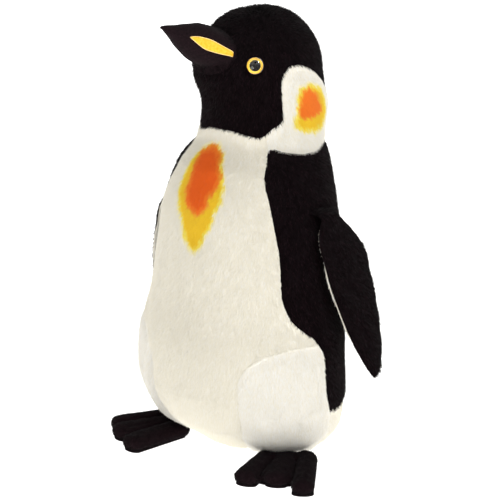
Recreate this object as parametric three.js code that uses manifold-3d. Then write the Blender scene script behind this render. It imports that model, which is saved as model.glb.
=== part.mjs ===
// A large sitting-room plush penguin: sewn plush panels over stuffing, a felt beak, safety eyes,
// two stuffed wings hinged on their shoulder seams, two stuffed feet and a short tail.
//
// Frame: millimetres, +Z up, standing on Z = 0, facing -Y, its left side on +X.
// A place on the trunk is given as (turn, height): turn 0 is the front, 90 its left, 180 the back.

import * as THREE from 'three';
import { mergeVertices } from 'three/addons/utils/BufferGeometryUtils.js';
import Module from 'manifold-3d';

const wasm = await Module();
wasm.setup();

// ---- Driving dimensions ----

const CROWN_Z = 610; // top of the head
const BROW_Z = 520; // where the crown starts to close
const CROWN_POWER = 2.2; // 2 is a true ellipse, more is squarer
const HEAD_TURN = 13; // degrees, head turned to its own right
const TURN_FROM_Z = 430; // the neck twists between these two heights
const TURN_TO_Z = 500;
const NECK_Y = 20; // the head turns about the vertical line X = 0, Y = 20

const PLUSH = 8; // backing cloth and pile together
const GAP = 1.2; // between two panels sewn edge to edge
const STUFFING_INSET = 11.5; // face of the filling, below the outer face of the plush
const HEAD_STUFFING_INSET = 17; // deeper in the head, where the eye washers sit
const BEAK_FELT = 2.5;
const CAP_Z = 4; // how far a filling bulges past its first and last ring

// Trunk sections: height, Y of the centre, half width, half depth
const TRUNK = [
  [0, 30, 88, 68],
  [20, 12, 116, 86],
  [50, -4, 146, 105],
  [100, -13, 162, 113],
  [150, -15, 162, 113],
  [220, -10, 151, 110],
  [320, -2, 134, 110],
  [360, 2, 125, 107],
  [400, 9, 112, 98],
  [440, 21, 93, 84],
  [480, 25, 87, 84],
  [520, 20, 88, 86],
];

// Seams, as turn in degrees at each height
const SIDE_SEAM = [
  [0, 95], [80, 90], [127, 86], [164, 85], [186, 79], [204, 67], [217, 61], [250, 56],
  [290, 56], [340, 53], [370, 50], [400, 46], [428, 46], [460, 46],
];
const THIGH_FRONT = [[0, 20], [30, 28], [68, 30], [130, 30], [146, 33], [166, 42], [178, 56], [184, 78]];
// Lower edge of the black hood, as height at each turn
const HOOD_EDGE = [
  [0, 453], [15, 452], [38, 446], [54, 457], [69.5, 471], [73, 494], [75.5, 521],
  [79, 533], [85, 539], [95, 540], [108, 535], [123, 523], [145, 500], [151, 470], [155, 430], [180, 430],
];

const THIGH_TOP_Z = 184;
const BACK_LOW_Z = 82; // lower edge of the black back, upper edge of the white rump
const BACK_TOP_Z = 428;
const THIGH_BULGE = 7;
const BASE_INSET = 10;
const BASE_THICKNESS = 3;

// The head is fuller round the beak, and at the back of each cheek
const MUZZLE = { bulge: 8, turn: 0, spread: 50, z: 528, height: 36 };
const JOWL = { bulge: 5.5, turn: 126, spread: 32, z: 478, height: 34 };

const EYE = { turn: 51, z: 541, radius: 12, pupil: 6.8, dome: 5, stemRadius: 3, stemDepth: 14, sides: 8 };

// Beak, in distances in front of the neck line
const BEAK = {
  root: 72, tip: 153, halfWidth: 41, tipRadius: 3,
  top: [[72, 583.5], [100, 592.5], [125, 592.5], [153, 593.5]],
  bottom: [[72, 526], [100, 537], [110, 543], [120, 551.5], [131, 562.5], [142.5, 577], [153, 587.5]],
};

const WING = { length: 220, lean: 16, toeIn: 5, hingeX: 139, hingeY: 0, hingeZ: 342, half: 10, cloth: 3 };
const TAIL = { length: 58, halfWidth: 34, lean: 48, hingeY: 107, hingeZ: 74, half: 8, cloth: 3 };

// Three toes and the palm between them, each lying on the floor from its heel point to its tip.
// The right foot is given mirrored, and turns out less than the left one.
const toe = (name, heel, tip) => ({ name, heel, tip, heelRadius: 8.5, tipRadius: 10.5, widen: 1.75 });
const palm = (heel, tip) => ({ name: 'palm', heel, tip, heelRadius: 7.5, tipRadius: 9, widen: 3.3 });
const FEET = {
  left: [
    toe('inner', [88, -55], [113, -135]),
    toe('middle', [107, -41], [147, -111]),
    toe('outer', [125, -25], [194, -108.5]),
    palm([107, -41], [140, -107]),
  ],
  right: [
    toe('inner', [86, -55], [93, -149]),
    toe('middle', [105, -41], [143, -127]),
    toe('outer', [124, -25], [168, -107]),
    palm([105, -41], [124, -125]),
  ],
};
const FOOT = { sole: 2, soleShare: 0.8, cloth: 3, sides: 8 };

// ---- Curves and surfaces ----

const rad = THREE.MathUtils.degToRad;

// Smooth curve through [x, y1, y2...] rows that never overshoots them
function through(rows, x, column = 1) {
  const last = rows.length - 1;
  const at = Math.min(Math.max(x, rows[0][0]), rows[last][0]);
  let i = 0;
  while (i < last - 1 && at > rows[i + 1][0]) i += 1;
  const span = (k) => rows[k + 1][0] - rows[k][0];
  const slope = (k) => (rows[k + 1][column] - rows[k][column]) / span(k);
  const tangent = (k) => {
    if (k === 0) return slope(0);
    if (k === last) return slope(last - 1);
    const before = slope(k - 1);
    const after = slope(k);
    if (before * after <= 0) return 0;
    const w1 = 2 * span(k) + span(k - 1);
    const w2 = span(k) + 2 * span(k - 1);
    return (w1 + w2) / (w1 / before + w2 / after);
  };
  const h = span(i);
  const s = (at - rows[i][0]) / h;
  const low = rows[i][column];
  const high = rows[i + 1][column];
  return (
    low * (2 * s ** 3 - 3 * s ** 2 + 1) +
    h * tangent(i) * (s ** 3 - 2 * s ** 2 + s) +
    high * (3 * s ** 2 - 2 * s ** 3) +
    h * tangent(i + 1) * (s ** 3 - s ** 2)
  );
}

// Centre and half axes of the trunk or head at a height
function section(z) {
  const low = Math.min(z, BROW_Z);
  const rise = Math.max(z - BROW_Z, 0) / (CROWN_Z - BROW_Z);
  const close = (1 - Math.min(rise, 1) ** CROWN_POWER) ** (1 / CROWN_POWER);
  return {
    y: through(TRUNK, low, 1),
    a: through(TRUNK, low, 2) * close,
    b: through(TRUNK, low, 3) * close,
  };
}

function bare(turn, z) {
  const s = section(z);
  return new THREE.Vector3(s.a * Math.sin(rad(turn)), s.y - s.b * Math.cos(rad(turn)), z);
}

function outward(turn, z) {
  if (z > CROWN_Z - 0.01) return new THREE.Vector3(0, 0, 1);
  const step = Math.min(0.5, (CROWN_Z - z) / 2);
  const along = bare(turn + 0.5, z).sub(bare(turn - 0.5, z));
  const up = bare(turn, z + step).sub(bare(turn, Math.max(z - step, 0)));
  return along.cross(up).normalize();
}

// How far the muzzle and the jowls lift the outline
function fullness(turn, z) {
  const aside = Math.abs(((turn + 540) % 360) - 180);
  const rise = ({ bulge, turn: middle, spread, z: level, height }) =>
    bulge * Math.exp(-(((aside - middle) / spread) ** 2) - ((z - level) / height) ** 2);
  return rise(MUZZLE) + rise(JOWL);
}

// A point on the outer face, moved in by inset
function skin(turn, z, inset = 0) {
  return bare(turn, z).addScaledVector(outward(turn, z), fullness(turn, z) - inset);
}

// The neck's twist: nothing below it moves, the head above it turns as one
function twist(point) {
  const rise = THREE.MathUtils.smoothstep(point.z, TURN_FROM_Z, TURN_TO_Z);
  const angle = -rad(HEAD_TURN) * rise;
  const x = point.x;
  const y = point.y - NECK_Y;
  point.x = x * Math.cos(angle) - y * Math.sin(angle);
  point.y = NECK_Y + x * Math.sin(angle) + y * Math.cos(angle);
  return point;
}

// ---- Closed bodies ----

// Welds the corners, drops faces with no area and turns the faces outward
function closed(positions, faces) {
  const raw = new THREE.BufferGeometry();
  raw.setAttribute('position', new THREE.Float32BufferAttribute(positions, 3));
  raw.setIndex(faces);
  const welded = mergeVertices(raw, 1e-3);
  const index = welded.getIndex().array;
  const p = welded.getAttribute('position');
  const kept = [];
  let volume = 0;
  const [a, b, c] = [new THREE.Vector3(), new THREE.Vector3(), new THREE.Vector3()];
  for (let k = 0; k < index.length; k += 3) {
    const [i, j, l] = [index[k], index[k + 1], index[k + 2]];
    if (i === j || j === l || l === i) continue;
    kept.push(i, j, l);
    a.fromBufferAttribute(p, i);
    b.fromBufferAttribute(p, j);
    c.fromBufferAttribute(p, l);
    volume += a.dot(b.cross(c));
  }
  if (volume < 0) kept.reverse();
  welded.setIndex(kept);
  return welded;
}

// A panel with thickness: two grids of points, joined round the rim
function panel(us, vs, outer, inner) {
  const [columns, rows] = [us.length, vs.length];
  const positions = [];
  for (const face of [outer, inner]) {
    for (const v of vs) {
      for (const u of us) positions.push(...face(u, v).toArray());
    }
  }
  const at = (side, i, j) => side * columns * rows + j * columns + i;
  const faces = [];
  const quad = (a, b, c, d) => faces.push(a, b, c, a, c, d);
  for (let j = 0; j < rows - 1; j += 1) {
    for (let i = 0; i < columns - 1; i += 1) {
      quad(at(0, i, j), at(0, i + 1, j), at(0, i + 1, j + 1), at(0, i, j + 1));
      quad(at(1, i, j), at(1, i, j + 1), at(1, i + 1, j + 1), at(1, i + 1, j));
    }
    quad(at(0, 0, j), at(0, 0, j + 1), at(1, 0, j + 1), at(1, 0, j));
    quad(at(0, columns - 1, j + 1), at(0, columns - 1, j), at(1, columns - 1, j), at(1, columns - 1, j + 1));
  }
  for (let i = 0; i < columns - 1; i += 1) {
    quad(at(0, i + 1, 0), at(0, i, 0), at(1, i, 0), at(1, i + 1, 0));
    quad(at(0, i, rows - 1), at(0, i + 1, rows - 1), at(1, i + 1, rows - 1), at(1, i, rows - 1));
  }
  return closed(positions, faces);
}

// A solid through closed rings of points, with a domed cap at each end
function loft(rings, firstCap, lastCap) {
  const count = rings[0].length;
  const positions = rings.flat().flatMap((p) => p.toArray());
  const first = positions.length / 3;
  positions.push(...firstCap.toArray(), ...lastCap.toArray());
  const faces = [];
  for (let i = 0; i < count; i += 1) {
    const next = (i + 1) % count;
    faces.push(first, next, i);
    const top = (rings.length - 1) * count;
    faces.push(first + 1, top + i, top + next);
    for (let j = 0; j < rings.length - 1; j += 1) {
      const [low, high] = [j * count, (j + 1) * count];
      faces.push(low + i, low + next, high + next, low + i, high + next, high + i);
    }
  }
  return closed(positions, faces);
}

function range(low, high, steps) {
  return Array.from({ length: steps + 1 }, (_, i) => low + ((high - low) * i) / steps);
}

function toManifold(geometry) {
  const bareGeometry = geometry.clone();
  bareGeometry.deleteAttribute('normal');
  bareGeometry.deleteAttribute('uv');
  const merged = mergeVertices(bareGeometry, 1e-4);
  const vertProperties = new Float32Array(merged.getAttribute('position').array);
  const triVerts = new Uint32Array(merged.getIndex().array);
  return new wasm.Manifold(new wasm.Mesh({ numProp: 3, vertProperties, triVerts }));
}

function fromManifold(solid) {
  const mesh = solid.getMesh();
  return closed(Array.from(mesh.vertProperties), Array.from(mesh.triVerts));
}

// The same body on the other side of the plane X = 0
function mirrored(geometry) {
  const copy = geometry.clone();
  copy.scale(-1, 1, 1);
  return closed(Array.from(copy.getAttribute('position').array), Array.from(copy.getIndex().array));
}

function twisted(geometry) {
  const p = geometry.getAttribute('position');
  const point = new THREE.Vector3();
  for (let i = 0; i < p.count; i += 1) {
    point.fromBufferAttribute(p, i);
    twist(point);
    p.setXYZ(i, point.x, point.y, point.z);
  }
  return geometry;
}

// ---- Materials ----

function cloth(color, roughness = 0.95) {
  return new THREE.MeshStandardMaterial({ color, roughness, metalness: 0 });
}

const BLACK_PLUSH = () => cloth(0x171013);
const WHITE_PLUSH = () => cloth(0xefeadb);
const BLACK_FELT = () => cloth(0x241a1d, 0.9);
const YELLOW_FELT = () => cloth(0xf6b834, 0.9);
const LINING = () => cloth(0xe6e1d2, 0.85);
const FIBRE = () => cloth(0xf4f4f0);
const PELLET_CLOTH = () => cloth(0xcfc6b0, 0.85);

function plastic(color, roughness = 0.15) {
  return new THREE.MeshStandardMaterial({ color, roughness, metalness: 0 });
}

const penguin = new THREE.Group();

function add(name, geometry, material) {
  geometry.computeVertexNormals();
  const mesh = new THREE.Mesh(geometry, material);
  mesh.name = name;
  penguin.add(mesh);
  return mesh;
}

// Adds the left body and its mirror image, both carried round by the neck's twist
function addPair(name, geometry, material) {
  const right = mirrored(geometry);
  add(name.replace('SIDE', 'left'), twisted(geometry), material());
  add(name.replace('SIDE', 'right'), twisted(right), material());
}

// ---- Trunk panels ----

const HEIGHTS = [0, 14, 40, 80, 125, 152, 170, 179, 184, 200, 225, 280, 345, 395, 428];

// Angle that half a seam gap takes up at a height
function seam(z) {
  const s = section(z);
  return THREE.MathUtils.radToDeg(GAP / (s.a + s.b));
}

// A plush panel between two turns at each height, clear of its mirror image at X = 0
function trunkPanel(columns, heights, from, to, heightAt, bulge = () => 0) {
  const us = range(0, 1, columns);
  const face = (inset) => (u, v) => {
    const start = from(v);
    const turn = start + (to(v) - start) * u;
    const z = heightAt(v, turn);
    const point = skin(turn, z, inset - bulge(u, v));
    point.x += GAP / 4;
    return point;
  };
  return panel(us, heights, face(0), face(PLUSH));
}

const hoodEdge = (turn) => through(HOOD_EDGE, turn);
const sideSeam = (z) => through(SIDE_SEAM, z);
const bellyEdge = (z) => (z < THIGH_TOP_Z ? through(THIGH_FRONT, z) : sideSeam(z));

const BELLY_COLUMNS = 5;
const NECK_HEIGHT = 452; // nominal top row of the belly, which follows the hood's edge
const bellyHeights = [...HEIGHTS, NECK_HEIGHT];
const bellyHeight = (z, turn) => (z === NECK_HEIGHT ? hoodEdge(turn) - GAP / 2 : z);
addPair(
  'belly_SIDE',
  trunkPanel(BELLY_COLUMNS, bellyHeights, () => 0, (z) => bellyEdge(z) - seam(z), bellyHeight),
  WHITE_PLUSH,
);

const backHeights = [BACK_LOW_Z + GAP / 2, ...HEIGHTS.filter((z) => z > BACK_LOW_Z)];
addPair(
  'back_SIDE',
  trunkPanel(8, backHeights, (z) => sideSeam(z) + seam(z), () => 180, (z) => z),
  BLACK_PLUSH,
);

const rumpHeights = [...HEIGHTS.filter((z) => z < BACK_LOW_Z), BACK_LOW_Z - GAP / 2];
addPair(
  'rump_SIDE',
  trunkPanel(7, rumpHeights, (z) => sideSeam(z) + seam(z), () => 180, (z) => z),
  WHITE_PLUSH,
);

const thighTop = THIGH_TOP_Z - 2;
const thighHeights = [...HEIGHTS.filter((z) => z < thighTop), thighTop];
const thighSwell = (u, z) => {
  const across = Math.sin(Math.PI * u);
  const along = Math.sin(Math.PI * Math.min(z / thighTop, 1));
  return THIGH_BULGE * Math.sqrt(Math.max(across * along, 0));
};
addPair(
  'thigh_SIDE',
  trunkPanel(
    6, thighHeights,
    (z) => bellyEdge(z) + seam(z), (z) => sideSeam(z) - seam(z), (z) => z,
    thighSwell,
  ),
  WHITE_PLUSH,
);

// Flat cloth underside that the penguin stands on
function ellipsePlate(halfX, halfY, thickness) {
  const outline = new THREE.Shape();
  outline.absellipse(0, 0, halfX, halfY, 0, 2 * Math.PI);
  return new THREE.ExtrudeGeometry(outline, { depth: thickness, bevelEnabled: false, curveSegments: 20 });
}

const [, baseY, baseA, baseB] = TRUNK[0];
const basePlate = ellipsePlate(baseA - BASE_INSET, baseB - BASE_INSET, BASE_THICKNESS);
add('base_panel', fromManifold(toManifold(basePlate)), cloth(0xe9e3d3)).position.set(0, baseY, 0);

// ---- Head panels ----

const cheekTurns = [46, 55, 64, 70, 73.5, 76, 80, 90, 103, 118, 134, 150];
const cheekFront = cheekTurns[0] + seam(TURN_FROM_Z);
const cheekLow = BACK_TOP_Z + GAP;
const cheekFace = (inset) => (u, v) => {
  const turn = Math.max(u, cheekFront);
  const high = Math.min(hoodEdge(turn - seam(BROW_Z)), hoodEdge(turn + seam(BROW_Z))) - 2.5 * GAP;
  return skin(turn, cheekLow + (high - cheekLow) * v, inset);
};
addPair('cheek_SIDE', panel(cheekTurns, range(0, 1, 4), cheekFace(0), cheekFace(PLUSH)), WHITE_PLUSH);

// The hood runs from its edge up to the crown, and down the nape to the black back
const hoodTurns = [...range(0, cheekTurns[0], BELLY_COLUMNS), ...cheekTurns.slice(1), 152, 155, 168, 180];
const hoodFace = (inset) => (u, v) => {
  const low = Math.max(hoodEdge(u), BACK_TOP_Z + GAP);
  const point = skin(u, CROWN_Z - (CROWN_Z - low) * (1 - v) ** 2, inset);
  point.x += GAP / 4;
  return point;
};

// Everything on the eye's own axis: its place and outward direction on the head
const eyePlace = skin(EYE.turn, EYE.z);
const eyeOut = outward(EYE.turn, EYE.z);

function onEyeAxis(geometry, height) {
  const copy = geometry.clone();
  copy.translate(0, height, 0);
  copy.applyQuaternion(new THREE.Quaternion().setFromUnitVectors(new THREE.Vector3(0, 1, 0), eyeOut));
  copy.translate(eyePlace.x, eyePlace.y, eyePlace.z);
  return copy;
}

const STEM_CLEARANCE = 0.4;
const stemHole = onEyeAxis(new THREE.CylinderGeometry(
  EYE.stemRadius + STEM_CLEARANCE, EYE.stemRadius + STEM_CLEARANCE, 4 * PLUSH, 16,
), 0);
const hoodWhole = panel(hoodTurns, range(0, 1, 7), hoodFace(0), hoodFace(PLUSH));
addPair('hood_SIDE', fromManifold(toManifold(hoodWhole).subtract(toManifold(stemHole))), BLACK_PLUSH);

// ---- Fillings ----

function filling(heights, inset, sides, lowCap, highCap) {
  const turns = range(0, 360, sides).slice(0, sides);
  const rings = heights.map((z) => turns.map((turn) => skin(turn, z, inset)));
  const cap = (z) => new THREE.Vector3(0, section(z).y, z);
  return loft(rings, cap(lowCap), cap(highCap));
}

add('pellet_bag', filling([16, 28, 44], STUFFING_INSET, 20, 6, 48), PELLET_CLOTH());
const bodyHeights = [62, 110, 160, 220, 290, 350, 410];
add('body_stuffing', filling(bodyHeights, STUFFING_INSET, 20, 62 - CAP_Z, 410 + CAP_Z), FIBRE());
const headHeights = [445, 490, 530, 565, 590, 603];
add('head_stuffing', twisted(filling(headHeights, HEAD_STUFFING_INSET, 16, 440, 592)), FIBRE());

// ---- Eyes: a stem with a backing plate, an iris ring, a pupil, a clear dome and a locking washer ----

function disc(radius, thickness, hole = 0) {
  const outline = new THREE.Shape();
  outline.absarc(0, 0, radius, 0, 2 * Math.PI);
  if (hole > 0) outline.holes.push(new THREE.Path().absarc(0, 0, hole, 0, 2 * Math.PI));
  const plate = new THREE.ExtrudeGeometry(outline, {
    depth: thickness, bevelEnabled: false, curveSegments: EYE.sides,
  });
  plate.rotateX(-Math.PI / 2);
  return fromManifold(toManifold(plate));
}

const PLATE = { low: 0.9, thickness: 1.4, radius: 11.4 };
const IRIS = { low: 2.6, thickness: 0.8 };
const LENS_LOW = 3.7;
const WASHER = { low: -12, thickness: 1.4, radius: 8.5 };

const stemProfile = [
  new THREE.Vector2(0, -EYE.stemDepth),
  new THREE.Vector2(EYE.stemRadius - 0.8, -EYE.stemDepth),
  new THREE.Vector2(EYE.stemRadius, -EYE.stemDepth + 1.5),
  new THREE.Vector2(EYE.stemRadius, PLATE.low),
  new THREE.Vector2(PLATE.radius, PLATE.low),
  new THREE.Vector2(PLATE.radius, PLATE.low + PLATE.thickness),
  new THREE.Vector2(0, PLATE.low + PLATE.thickness),
];
const lensProfile = [new THREE.Vector2(0, 0), new THREE.Vector2(EYE.radius, 0)];
for (const angle of range(15, 90, 3)) {
  lensProfile.push(new THREE.Vector2(EYE.radius * Math.cos(rad(angle)), EYE.dome * Math.sin(rad(angle))));
}
lensProfile[lensProfile.length - 1].x = 0;

const lathe = (profile) => fromManifold(toManifold(new THREE.LatheGeometry(profile, EYE.sides)));
addPair('eye_SIDE_stem', onEyeAxis(lathe(stemProfile), 0), () => plastic(0x101010, 0.4));
const iris = disc(PLATE.radius, IRIS.thickness, EYE.pupil);
addPair('eye_SIDE_iris', onEyeAxis(iris, IRIS.low), () => plastic(0xf2b632));
const pupil = disc(EYE.pupil - 0.3, IRIS.thickness);
addPair('eye_SIDE_pupil', onEyeAxis(pupil, IRIS.low), () => plastic(0x050505));
addPair('eye_SIDE_lens', onEyeAxis(lathe(lensProfile), LENS_LOW), () => plastic(0xffffff, 0.05));
const washer = disc(WASHER.radius, WASHER.thickness, EYE.stemRadius + STEM_CLEARANCE);
addPair('eye_SIDE_washer', onEyeAxis(washer, WASHER.low), () => plastic(0xe8e8e4, 0.5));

// ---- Beak ----

// A point on the beak: out is the distance in front of the neck line, around 0 is its left side
function beakPoint(out, around, inset = 0) {
  const top = through(BEAK.top, out);
  const bottom = through(BEAK.bottom, out);
  const along = (out - BEAK.root) / (BEAK.tip - BEAK.root);
  const halfWidth = BEAK.tipRadius + (BEAK.halfWidth - BEAK.tipRadius) * (1 - along) ** 0.9;
  const wide = Math.max(halfWidth - inset, 0.4);
  const tall = Math.max((top - bottom) / 2 - inset, 0.4);
  return new THREE.Vector3(
    wide * Math.cos(rad(around)),
    NECK_Y - out,
    (top + bottom) / 2 + tall * Math.sin(rad(around)),
  );
}

const HEAD_CLEARANCE = 1.2;
const headHull = filling([500, 530, 550, 567, 582, 594, 603], -HEAD_CLEARANCE, 30, 499, 609);
const headCutter = toManifold(headHull);
const beakOuts = range(BEAK.root, BEAK.tip, 6);
const beakHalf = (inset) => (around, out) => {
  const point = beakPoint(out, around, inset);
  point.x += GAP / 4;
  return point;
};
const beakShell = panel(range(-90, 90, 8), beakOuts, beakHalf(0), beakHalf(BEAK_FELT));
addPair('beak_SIDE', fromManifold(toManifold(beakShell).subtract(headCutter)), BLACK_FELT);

const beakRings = range(BEAK.root, BEAK.tip - 14, 4).map((out) => range(0, 360, 12).slice(0, 12).map(
  (around) => beakPoint(out, around, BEAK_FELT + GAP),
));
const beakEnd = (out) => beakPoint(out, 0, BEAK.halfWidth).setX(0);
const beakFill = loft(beakRings, beakEnd(BEAK.root), beakEnd(BEAK.tip - 12));
add('beak_stuffing', twisted(fromManifold(toManifold(beakFill).subtract(headCutter))), FIBRE());

// Leaf-shaped yellow stripe along each side of the beak
const STRIPE = { from: 88, to: 122, half: 7, low: 0.7, thickness: 1, aroundFrom: 2, aroundTo: 15 };
const stripeFace = (lift) => (u, v) => {
  const out = STRIPE.from + (STRIPE.to - STRIPE.from) * v;
  const half = STRIPE.half * Math.sin(Math.PI * (0.12 + 0.82 * v)) ** 0.7;
  const centre = STRIPE.aroundFrom + (STRIPE.aroundTo - STRIPE.aroundFrom) * v;
  const reach = beakPoint(out, centre).z - beakPoint(out, centre - 10).z;
  return beakPoint(out, centre + ((10 * half) / reach) * u, -lift);
};
const stripe = panel(
  range(-1, 1, 2), range(0, 1, 7),
  stripeFace(STRIPE.low), stripeFace(STRIPE.low + STRIPE.thickness),
);
addPair('beak_stripe_SIDE', fromManifold(toManifold(stripe).subtract(headCutter)), YELLOW_FELT);

// ---- Flat stuffed limbs: two cloth faces and a filling, from an outline ----

// edges(v) gives the outline's two edges across the limb; v runs from the root at 0 to the tip at 1.
// place(across, along, out) puts a local point in the frame.
function flapLimb(shape, edges, place) {
  const vs = [0, 0.06, 0.2, 0.45, 0.7, 0.87, 0.96, 1];
  const height = (u, v) => {
    const across = Math.sin(Math.PI * u);
    const along = Math.sin(Math.PI * (0.12 + 0.88 * v));
    return shape.cloth + (shape.half - shape.cloth) * Math.sqrt(Math.max(across * along, 0));
  };
  const at = (u, v, out) => {
    const [front, rear] = edges(v);
    return place(front + (rear - front) * u, shape.length * v, out);
  };
  const us = [0, 0.1, 0.35, 0.65, 0.9, 1];
  const face = (sign) => panel(
    us, vs,
    (u, v) => at(u, v, sign * height(u, v)),
    (u, v) => at(u, v, sign * Math.max(height(u, v) - shape.cloth, GAP / 4)),
  );
  const inU = [0.16, 0.35, 0.65, 0.84];
  const inV = [0.12, 0.2, 0.45, 0.7, 0.86];
  const core = (sign) => (u, v) => at(u, v, sign * Math.max(height(u, v) - shape.cloth - 1, GAP / 2));
  return { outer: face(1), inner: face(-1), core: panel(inU, inV, core(1), core(-1)) };
}

// Wing: leaf-shaped, leading edge forward, hanging from its shoulder and leaning out
const WING_FRONT = -30;
const WING_REAR = 66;
const WING_TIP = 25;
const WING_SHOULDER = 0.27; // share of the length over which the rear edge rounds out
const wingEdges = (v) => {
  const frontRoot = 1 - 0.3 * Math.max(1 - v / 0.15, 0) ** 2;
  const rearRoot = 1 - Math.max(1 - v / WING_SHOULDER, 0) ** 1.6;
  const front = (WING_TIP - WING_FRONT) * Math.max(1 - v ** 2.2, 0.0002) ** 0.8;
  const rear = (WING_REAR - WING_TIP) * Math.sqrt(Math.max(1 - v ** 4, 0.0006));
  return [WING_TIP - front * frontRoot, WING_TIP + rear * rearRoot];
};
const wingPlace = (across, along, out) => {
  const lean = rad(WING.lean);
  const point = new THREE.Vector3(
    along * Math.sin(lean) + out * Math.cos(lean),
    across,
    -along * Math.cos(lean) + out * Math.sin(lean),
  );
  point.applyAxisAngle(new THREE.Vector3(0, 0, 1), rad(WING.toeIn));
  return point.add(new THREE.Vector3(WING.hingeX, WING.hingeY, WING.hingeZ));
};
const wing = flapLimb(WING, wingEdges, wingPlace);
addPair('wing_SIDE_outer', wing.outer, BLACK_PLUSH);
addPair('wing_SIDE_lining', wing.inner, LINING);
addPair('wing_SIDE_stuffing', wing.core, FIBRE);

// Tail: a short blunt flap behind, resting over the rump
const tailEdges = (v) => {
  const half = TAIL.halfWidth * Math.sqrt(Math.max(1 - v ** 2.4, 0.0006));
  return [-half, half];
};
const tailPlace = (across, along, out) => {
  const lean = rad(TAIL.lean);
  return new THREE.Vector3(
    across,
    TAIL.hingeY + along * Math.cos(lean) + out * Math.sin(lean),
    TAIL.hingeZ - along * Math.sin(lean) + out * Math.cos(lean),
  );
};
const tail = flapLimb(TAIL, tailEdges, tailPlace);
add('tail_upper', tail.outer, BLACK_PLUSH());
add('tail_under', tail.inner, BLACK_PLUSH());
add('tail_stuffing', tail.core, FIBRE());

// ---- Feet: three stuffed toes on one palm, as an upper, a flat sole and a filling ----

// Puts a shape made along +Y, from 0, onto the line from a bar's heel to its tip
function laid(geometry, part, z) {
  const [heelX, heelY] = part.heel;
  const [tipX, tipY] = part.tip;
  geometry.rotateZ(Math.atan2(heelX - tipX, tipY - heelY));
  geometry.translate(heelX, heelY, z);
  return toManifold(geometry);
}

function barLength(part) {
  return Math.hypot(part.tip[0] - part.heel[0], part.tip[1] - part.heel[1]) - part.tipRadius;
}

// A tapered bar with round ends, wider than it is tall, lying from its heel to its tip
function bar(part, inset) {
  const length = barLength(part);
  const [small, large] = [part.heelRadius - inset, part.tipRadius - inset];
  const profile = [new THREE.Vector2(0, -small), new THREE.Vector2(small, 0)];
  for (const angle of [0, 35, 65]) {
    profile.push(new THREE.Vector2(large * Math.cos(rad(angle)), length + large * Math.sin(rad(angle))));
  }
  profile.push(new THREE.Vector2(0, length + large));
  const solid = new THREE.LatheGeometry(profile, FOOT.sides);
  solid.scale(part.widen, 1, 1);
  solid.rotateX(Math.asin((part.tipRadius - part.heelRadius) / length));
  return laid(solid, part, small);
}

// The bar's flat outline on the floor, a little inside its widest line
function soleOf(part) {
  const [small, large] = [part.heelRadius, part.tipRadius].map((radius) => radius * FOOT.soleShare);
  const outline = new THREE.Shape();
  outline.absellipse(0, barLength(part), large * part.widen, large, 0, Math.PI);
  outline.absellipse(0, 0, small * part.widen, small, Math.PI, 2 * Math.PI);
  const plate = new THREE.ExtrudeGeometry(outline, {
    depth: FOOT.sole, bevelEnabled: false, curveSegments: FOOT.sides,
  });
  return laid(plate, part, 0);
}

function joined(solids) {
  return solids.reduce((whole, next) => whole.add(next));
}

function above(z) {
  const high = 100;
  const wide = 400;
  const box = new THREE.BoxGeometry(wide, wide, high - z);
  box.translate(0, 0, (z + high) / 2);
  return toManifold(box);
}

for (const [side, bars] of Object.entries(FEET)) {
  const addFoot = (name, solid, material) => {
    const geometry = fromManifold(solid);
    add(`foot_${side}_${name}`, side === 'left' ? geometry : mirrored(geometry), material);
  };
  const shape = (inset) => joined(bars.map((part) => bar(part, inset)));
  const upper = shape(0).intersect(above(FOOT.sole + GAP / 2)).subtract(shape(FOOT.cloth));
  addFoot('upper', upper, BLACK_FELT());
  addFoot('sole', joined(bars.map(soleOf)), BLACK_FELT());

  // Stitched grooves part the filling into one channel for each toe
  for (const part of bars.filter((each) => each.name !== 'palm')) {
    const fill = bar(part, FOOT.cloth + 2 * GAP).intersect(above(FOOT.sole + GAP));
    addFoot(`stuffing_${part.name}`, fill, FIBRE());
  }
}

// ---- Origin: the middle of the footprint, on the floor ----

const box = new THREE.Box3().setFromObject(penguin);
const middle = box.getCenter(new THREE.Vector3());
for (const mesh of penguin.children) mesh.position.add(new THREE.Vector3(-middle.x, -middle.y, -box.min.z));

export default penguin;
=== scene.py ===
import math

import bmesh
import bpy
import numpy as np
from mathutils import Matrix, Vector


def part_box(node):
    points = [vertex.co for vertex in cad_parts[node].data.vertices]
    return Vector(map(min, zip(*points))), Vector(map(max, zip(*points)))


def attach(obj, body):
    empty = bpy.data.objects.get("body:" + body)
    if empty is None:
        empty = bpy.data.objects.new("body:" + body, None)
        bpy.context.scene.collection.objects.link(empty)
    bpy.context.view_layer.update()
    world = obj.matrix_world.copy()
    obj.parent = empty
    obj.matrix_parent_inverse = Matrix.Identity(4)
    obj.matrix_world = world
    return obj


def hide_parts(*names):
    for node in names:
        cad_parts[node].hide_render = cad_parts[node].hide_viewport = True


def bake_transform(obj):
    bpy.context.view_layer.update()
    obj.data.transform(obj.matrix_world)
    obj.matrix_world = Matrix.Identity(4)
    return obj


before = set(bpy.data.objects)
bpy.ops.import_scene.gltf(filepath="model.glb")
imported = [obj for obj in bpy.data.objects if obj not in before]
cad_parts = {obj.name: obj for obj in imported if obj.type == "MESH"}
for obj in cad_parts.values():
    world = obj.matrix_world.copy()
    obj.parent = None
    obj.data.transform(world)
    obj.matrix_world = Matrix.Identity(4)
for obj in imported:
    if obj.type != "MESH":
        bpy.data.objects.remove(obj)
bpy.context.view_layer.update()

# Lengths are in millimetres until a mesh is made, when they turn into the frame's metres.
MM = 0.001
base_low, base_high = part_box("base_panel")
BASE_Y = 30
ORIGIN = np.array([0, (base_low.y + base_high.y) / 2 - BASE_Y * MM, base_low.z])

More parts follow.
